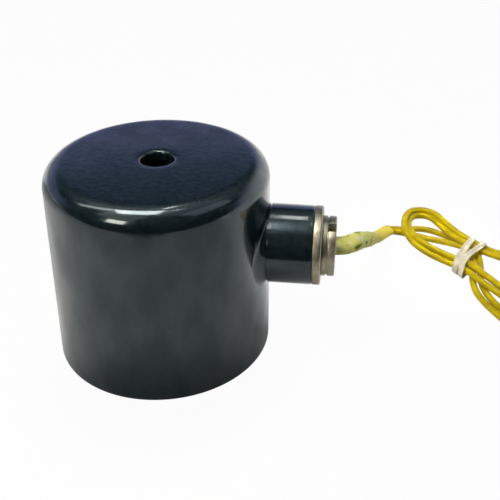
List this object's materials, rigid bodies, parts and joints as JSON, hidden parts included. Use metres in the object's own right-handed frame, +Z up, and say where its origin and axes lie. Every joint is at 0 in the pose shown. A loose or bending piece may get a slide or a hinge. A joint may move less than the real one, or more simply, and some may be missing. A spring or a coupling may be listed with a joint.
{
  "type": "solenoid valve coil",
  "caption": "Canned solenoid coil with a black enamelled round can, a core bore, a side boss with a slotted cable gland, and sleeved yellow leads folded and tied.",
  "frame": {"origin": "axis of the core bore at the valve seat, on the can's open end", "axes": "+Z up the core bore towards the can's top, +X out along the lead boss"},
  "size_m": [0.1566, 0.1001, 0.0545],
  "materials": {
    "black_enamel": "glossy stove enamel",
    "zinc_steel": "bright zinc plate",
    "bare_steel": "turned",
    "green_nylon": "moulded",
    "copper_wire": "enamelled wire",
    "polyester_tape": "smooth",
    "potting_resin": "cast",
    "nickel_plate": "turned and plated",
    "brass": "stamped",
    "black_rubber": "matt",
    "tinned_copper": "drawn",
    "shrink_tube": "shrunk",
    "clear_sleeve": "clear and slightly cloudy",
    "yellow_pvc": "smooth insulation",
    "white_tape": "satin"
  },
  "bodies": {
    "coil_body": {"can": "black_enamel", "lead_boss": "black_enamel", "base_plate": "zinc_steel", "lower_flux_sleeve": "bare_steel", "upper_flux_sleeve": "bare_steel", "top_flux_washer": "bare_steel", "bobbin": "green_nylon", "winding": "copper_wire", "winding_wrap": "polyester_tape", "potting": "potting_resin", "thread_bushing": "nickel_plate", "seat_washer": "brass", "seal_grommet": "black_rubber", "splice_a": "tinned_copper", "splice_b": "tinned_copper", "splice_cover_a": "shrink_tube", "splice_cover_b": "shrink_tube", "coil_tail_a": "copper_wire", "coil_tail_b": "copper_wire", "lead_sleeve": "clear_sleeve", "lead_wire_a": "yellow_pvc", "lead_wire_b": "yellow_pvc", "lead_hank": "yellow_pvc", "hank_tie": "white_tape"},
    "clamp_ring": {"clamp_washer": "brass"},
    "gland": {"gland_screw": "nickel_plate"}
  },
  "joints": [
    {"name": "gland_advance", "type": "slide", "parent": "coil_body", "child": "clamp_ring", "axis": [1, 0, 0], "range_m": [0, 0.003]},
    {"name": "gland_turn", "type": "hinge", "parent": "clamp_ring", "child": "gland", "pos_m": [0.043, 0, 0.0315], "axis": [1, 0, 0], "range_deg": [0, 720]}
  ],
  "couplings": [
    {"joint": "gland_turn", "follows": "gland_advance", "rad_per_m": 4188.8}
  ]
}
